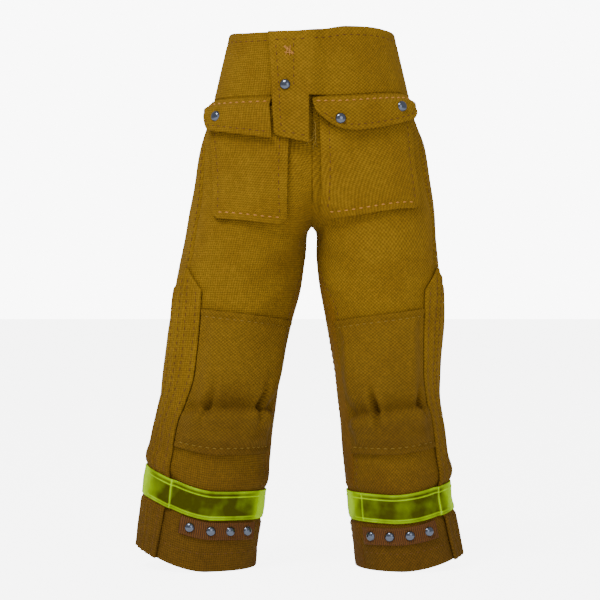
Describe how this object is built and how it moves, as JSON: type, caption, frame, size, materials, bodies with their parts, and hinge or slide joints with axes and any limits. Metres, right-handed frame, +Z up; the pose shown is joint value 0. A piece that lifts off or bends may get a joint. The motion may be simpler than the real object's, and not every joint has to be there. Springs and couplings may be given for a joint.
{
  "type": "miniature bunker pants",
  "caption": "Standing firefighter's bunker pants for a 1:6-scale figure, open at waist and hems, with snap-down pocket flaps, a fly flap, padded knees and reflective bands.",
  "frame": {"origin": "middle of the footprint on the floor that the hems stand on", "axes": "+Z up the legs to the waist, -Y to the front, -X to the wearer's right"},
  "size_m": [0.1046, 0.044, 0.17],
  "materials": {
    "duck_cloth": "plain-woven cotton duck, tan-gold, matte",
    "patch_cloth": "the same duck over the knee pads, a shade browner",
    "inseam_cloth": "browner duck strip along the inseam",
    "knee_foam": "thin felted padding",
    "lime_tape": "glossy lime PVC trim with an embossed grid",
    "ribbon": "brown ribbed grosgrain",
    "nickel": "polished nickel-plated brass",
    "hook_and_loop": "hook and loop fastener tape"
  },
  "bodies": {
    "shell": {"right_back_panel": "duck_cloth", "left_back_panel": "duck_cloth", "right_front_panel": "duck_cloth", "left_front_panel": "duck_cloth", "right_inseam_strip": "inseam_cloth", "left_inseam_strip": "inseam_cloth", "right_side_panel": "duck_cloth", "left_side_panel": "duck_cloth", "right_knee_patch": "patch_cloth", "left_knee_patch": "patch_cloth", "right_knee_pad": "knee_foam", "left_knee_pad": "knee_foam", "right_reflective_band": "lime_tape", "left_reflective_band": "lime_tape", "right_stud_ribbon": "ribbon", "left_stud_ribbon": "ribbon", "right_pocket": "duck_cloth", "left_pocket": "duck_cloth", "right_front_yoke": "duck_cloth", "left_front_yoke": "duck_cloth", "back_yoke": "duck_cloth", "waist_facing": "duck_cloth", "fly_shield": "duck_cloth", "fly_loop_tape": "hook_and_loop", "right_ribbon_stud_1": "nickel", "right_ribbon_stud_2": "nickel", "right_ribbon_stud_3": "nickel", "right_ribbon_stud_4": "nickel", "left_ribbon_stud_1": "nickel", "left_ribbon_stud_2": "nickel", "left_ribbon_stud_3": "nickel", "left_ribbon_stud_4": "nickel", "right_flap_outer_snap_stud": "nickel", "left_flap_inner_snap_stud": "nickel", "left_flap_outer_snap_stud": "nickel", "fly_snap_stud": "nickel"},
    "fly_flap": {"fly_flap": "duck_cloth", "fly_snap_cap": "nickel", "fly_hook_tape": "hook_and_loop"},
    "right_pocket_flap": {"right_pocket_flap": "duck_cloth", "right_flap_outer_snap_cap": "nickel"},
    "left_pocket_flap": {"left_pocket_flap": "duck_cloth", "left_flap_inner_snap_cap": "nickel", "left_flap_outer_snap_cap": "nickel"}
  },
  "joints": [
    {"name": "fly_flap_hinge", "type": "hinge", "parent": "shell", "child": "fly_flap", "pos_m": [0.00314, -0.01741, 0.17], "axis": [0, 0.0995, 0.995], "range_deg": [0, 100]},
    {"name": "right_pocket_flap_hinge", "type": "hinge", "parent": "shell", "child": "right_pocket_flap", "pos_m": [-0.02046, -0.01131, 0.1484], "axis": [-0.8224, 0.5689, 0], "range_deg": [0, 110]},
    {"name": "left_pocket_flap_hinge", "type": "hinge", "parent": "shell", "child": "left_pocket_flap", "pos_m": [0.02222, -0.01408, 0.14845], "axis": [-0.9233, -0.3841, 0], "range_deg": [0, 110]}
  ]
}
